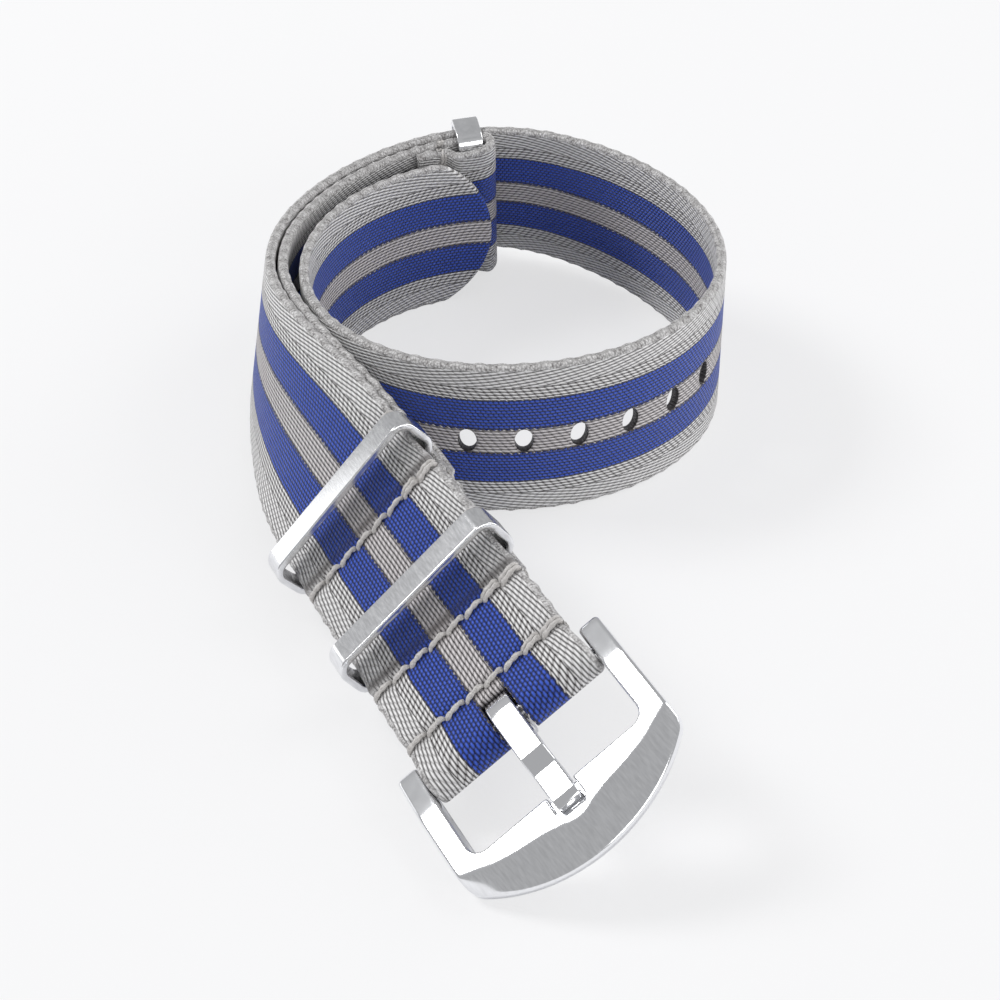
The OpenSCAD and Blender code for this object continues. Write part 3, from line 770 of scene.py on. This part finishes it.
# Buckle frame, one forging: two arms with round ends, and a curved front that slopes down to its outer edge.
# The top is polished and the slope is brushed. A notch in the front takes the tongue's tip.
polished_steel, tree, shade = new_material("polished_steel")
shade.inputs["Metallic"].default_value = 1
shade.inputs["Base Color"].default_value = (0.80, 0.805, 0.82, 1)
wear = speckle(tree, tree.nodes.new("ShaderNodeTexCoord").outputs["Object"], 900, 4)
dull_unevenly(tree, shade, wear, 0.10, 0.15)

arm_in, arm_out, arm_w, arm_end, arm_end_r, arm_corner_r = 10.3, 12.7, 2.4, 3.2, 0.6, 0.8
frame_half_t, edge_r, droop_from, droop_slope = 1.3, 0.25, -3.0, 0.19
window_end, window_r, fade_over = -10.3, 1.5, 1.9
front_mid, front_r, front_corner_r, slope_drop = 0.3, 17.9, 0.8, 1.7
notch_half, notch_floor, notch_r, wall_foot, wall_top = 1.6, 0.3, 0.8, 0.79, 0.80
# the grid's lines: across the whole frame, along the arms, over the front's top and down its slope
half_marks = np.concatenate(((0.4, 0.8, 1.15, 1.45, 1.6, 1.605, 1.65, 1.74, 1.86, 2.1),
                             np.arange(2.6, 8.9, 0.5),
                             (9.1, 9.5, 9.9, 10.3, 10.34, 10.42, 10.55, 10.8, 11.2, 11.6, 11.9, 12.1, 12.3,
                              12.45, 12.58, 12.66, 12.7)))
frame_x = np.concatenate((-half_marks[::-1], (0,), half_marks))
round_end = np.sin(np.radians((90, 75, 60, 46, 34, 22, 10, 0)))
arm_y = np.concatenate((arm_end - arm_end_r + arm_end_r * round_end,
                        (2.1, 1.5, 0.8, 0, -0.8, -1.6, -2.4, -2.8, -3.2, -3.6, -4, -5, -6.5, -8, -8.6, -9.1,
                         -9.5, -9.9)))
top_part = np.array((0, 0.009, 0.026, 0.055, 0.1, 0.15, 0.3, 0.5, 0.60, 0.66, wall_foot, 0.795, wall_top,
                     0.815, 0.84, 0.87, 0.92, 0.96, 1))
slope_part = np.array((0.02, 0.05, 0.1, 0.2, 0.35, 0.5, 0.65, 0.8, 0.88, 0.94, 0.97, 0.985, 1))
first_front = len(arm_y)
row_count = first_front + len(top_part) + len(slope_part)
bpy.ops.mesh.primitive_grid_add(x_subdivisions=len(frame_x) - 1, y_subdivisions=row_count - 1, size=1)
buckle = bpy.context.object
buckle.name = buckle.data.name = "buckle_steel_frame"
co = points_of(buckle)
co[:, 0] = np.interp((co[:, 0] + 0.5) * (len(frame_x) - 1), range(len(frame_x)), frame_x) / 1000
co[:, 1] = np.round((co[:, 1] + 0.5) * (row_count - 1)) / 1000
buckle.data.vertices.foreach_set("co", co.ravel())
bpy.ops.object.mode_set(mode="EDIT")
pick_faces(buckle, lambda face: abs(face.center.x) < arm_in / 1000 and face.center.y < first_front / 1000)
bpy.ops.mesh.delete(type="FACE")
bpy.ops.object.mode_set(mode="OBJECT")
slab = buckle.modifiers.new("slab", "SOLIDIFY")
slab.thickness = 0.002 * frame_half_t
slab.offset = 0
bpy.ops.object.modifier_apply(modifier="slab")


def corner_cut(over, r):
    """What a round corner of radius r takes off, over millimetres into its last stretch."""
    over = np.clip(over, 0, r)
    return r - np.sqrt(r ** 2 - over ** 2)


def soft_ramp(past, soft):
    """Nothing before 0 and as much as past beyond it, with a soft start."""
    return (past + np.sqrt(past ** 2 + soft)) / 2


def front_edge(x):
    return front_mid - np.sqrt(front_r ** 2 - x ** 2)


def slope_width(x):
    """Width of the sloped face, narrower at the sides and round the notch."""
    return 1.5 + 2.7 * (1 - (x / arm_out) ** 2) - 1.0 * np.exp(-(x / 2.4) ** 2)


def crease(x):
    return front_edge(x) + slope_width(x)


x, row, h = (points_of(buckle) * 1000).T
row = np.round(row).astype(int)
on_arm = row < first_front
wide = np.abs(x)
part = np.concatenate((np.zeros(first_front), top_part, 1 + slope_part))[row]
outer_y = front_edge(x) + corner_cut(wide - arm_out + front_corner_r, front_corner_r)
top_y = window_end + part * (crease(x) - window_end)
slope_y = crease(x) + (part - 1) * (outer_y - crease(x))
along_arm = np.concatenate((arm_y, np.zeros(row_count - first_front)))[row]
y = np.where(on_arm, along_arm, np.where(part <= 1, top_y, slope_y))
# rounds the notch's corners
back = corner_cut(wide - notch_half + notch_r, notch_r) * np.clip((2.6 - wide) / 0.9, 0, 1)
y = y + back * np.where(on_arm, 0, np.interp(part, (0.3, wall_foot, wall_top, 1.0), (0, 1, 1, 0)))
# heights of the slope, of the arms that droop to their ends, of the rounded edges and of the notch
drop = np.where(on_arm, 0, slope_drop / slope_width(x) * soft_ramp(crease(x) - y, 0.03))
droop = np.where(wide > arm_in - 0.01, droop_slope * soft_ramp(y - droop_from, 0.25), 0)
in_front = np.where(wide < arm_in, window_end - y, np.hypot(wide - arm_in, window_end - y))
from_window = np.where(on_arm, wide - arm_in, in_front)
from_sides = np.minimum(np.minimum(arm_out - wide, np.where(on_arm, 9, y - outer_y)), from_window)
worn = corner_cut(edge_r - np.maximum(from_sides, 0), edge_r)
past_wall = np.maximum(part - wall_foot, 0) * (window_end - crease(x))
past_notch = np.hypot(np.maximum(wide - notch_half, 0), past_wall)
in_notch = ~on_arm & (wide <= notch_half + 0.001) & (part < wall_foot)
z_top = frame_half_t - droop - drop - worn - np.where(on_arm, 0, corner_cut(edge_r - past_notch, edge_r))
z_top = np.where(in_notch, notch_floor - worn, z_top)
z = np.where(h > 0, z_top, -frame_half_t + worn)
# rounds the arms' ends
z = np.where(on_arm, z - np.sign(h) * corner_cut(y - arm_end + arm_end_r, arm_end_r), z)
less = corner_cut(y - arm_end + arm_corner_r, arm_corner_r)
x = np.where(on_arm, np.sign(x) * (arm_in + less + (wide - arm_in) * (arm_w - 2 * less) / arm_w), x)
wide = np.abs(x)
# rounds the window's corners
up_arm = np.clip((y - window_end) / window_r, 0, 1)
along_front = np.clip((arm_in - wide) / window_r, 0, 1)
angle = np.radians(45 * (1 - up_arm + along_front))
fade = np.clip(1 - np.maximum(wide - arm_in, 0) / fade_over, 0, 1)
fade = fade * np.clip(1 - np.maximum(window_end - y, 0) / fade_over, 0, 1)
move_x = window_r * (np.cos(angle) - 1 + along_front)
move_y = window_r * (1 - np.sin(angle) - up_arm)
x, y = x + np.sign(x) * move_x * fade, y + move_y * fade
buckle.data.vertices.foreach_set("co", (np.stack([x, y, z], 1) / 1000).ravel())
face_outwards(merge_first=True)


def bore(piece, sides, radius, depth, x=0.0):
    """Drills a round hole on the bar's line, its middle at x."""
    bpy.ops.mesh.primitive_cylinder_add(vertices=sides, radius=radius / 1000, depth=depth / 1000,
                                        location=(x / 1000, 0, 0), rotation=(0, math.pi / 2, 0))
    drill = bpy.context.object
    bpy.ops.object.transform_apply(location=True, rotation=True)
    bpy.context.view_layer.objects.active = piece
    bored = piece.modifiers.new("bored", "BOOLEAN")
    bored.object = drill
    bpy.ops.object.modifier_apply(modifier="bored")
    bpy.data.objects.remove(drill)
    bpy.ops.object.select_all(action="DESELECT")
    piece.select_set(True)


bore(buckle, 32, 0.45, 2.6, -arm_in)
bore(buckle, 32, 0.45, 2.6, arm_in)
face_outwards()
keep_own_place(buckle)
buckle.data.materials.append(polished_steel)
buckle.data.materials.append(satin_steel)
for face in buckle.data.polygons:
    c = face.center * 1000
    face.material_index = 1 if c.y < crease(c.x) and face.normal.z > 0.5 else 0
bpy.ops.object.shade_smooth_by_angle(angle=math.radians(40))
buckle.data.transform(seat(0, bar_n))
buckle.select_set(False)
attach(buckle, "buckle")
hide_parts("buckle_frame")


# Tongue, bent from flat steel round the bar: arched, stepped down and flattened to a tip that lies in the
# notch of the frame. Its edges are rounded and polished.
hub_r, bore_r, tongue_w = 2.55, 0.98, 2.7
hub = [(hub_r * math.cos(math.radians(a)), hub_r * math.sin(math.radians(a)))
       for a in np.linspace(157, 438, 50)]
strip = [(-0.4, 2.69), (-6.4, 2.66), (-7.9, 1.80), (-11.6, 1.60), (-12.2, 1.25), (-12.4, 0.70),
         (-12.25, 0.35), (-9.6, 0.35), (-8.2, 0.50), (-6.2, 1.25)]
bpy.ops.mesh.primitive_circle_add(vertices=len(hub) + len(strip), radius=0.01, fill_type="NGON")
tongue = bpy.context.object
tongue.name = tongue.data.name = "buckle_steel_tongue"
for point, (y, z) in zip(tongue.data.vertices, hub + strip):
    point.co = (0, y / 1000, z / 1000)
bpy.ops.object.mode_set(mode="EDIT")
bpy.ops.mesh.select_mode(type="VERT")
bpy.ops.mesh.select_all(action="DESELECT")
bpy.ops.object.mode_set(mode="OBJECT")
for bend in (0, 1, 2, 3, 4, 8, 9):
    tongue.data.vertices[len(hub) + bend].select = True
bpy.ops.object.mode_set(mode="EDIT")
bpy.ops.mesh.bevel(offset=0.00025, segments=4, affect="VERTICES")
bpy.ops.object.mode_set(mode="OBJECT")
plate = tongue.modifiers.new("plate", "SOLIDIFY")
plate.thickness = tongue_w / 1000
plate.offset = 0
bpy.ops.object.modifier_apply(modifier="plate")
bore(tongue, 48, bore_r, 4.0)
soften_edges(tongue, 0.2, 4, 40)
even_shine(tongue, 40)
tongue.data.transform(seat(0, bar_n))
tongue.data.materials.append(polished_steel)
tongue.select_set(False)
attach(tongue, "tongue")
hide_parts("buckle_tongue")


# Spring bar, as carried over: its tube, the two pins and the spring inside are turned steel, left as they
# come off the lathe, and show only through the slot of the webbing. Their steel is painted dark as the shade
# they lie in.
turned_steel_in_painted_shade, tree, shade = new_material("turned_steel_in_painted_shade")
shade.inputs["Metallic"].default_value = 1
# painted shade: the steel's colour is darkened because it lies in the slot's shade
shade.inputs["Base Color"].default_value = (0.20, 0.20, 0.21, 1)
rings_cut = speckle(tree, tree.nodes.new("ShaderNodeTexCoord").outputs["Object"], 2500)
dull_unevenly(tree, shade, rings_cut, 0.22, 0.36)
for name in ("bar_tube", "bar_pin_left", "bar_pin_right", "bar_spring"):
    turned_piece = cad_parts[name]
    turned_piece.data.materials.clear()
    turned_piece.data.materials.append(turned_steel_in_painted_shade)
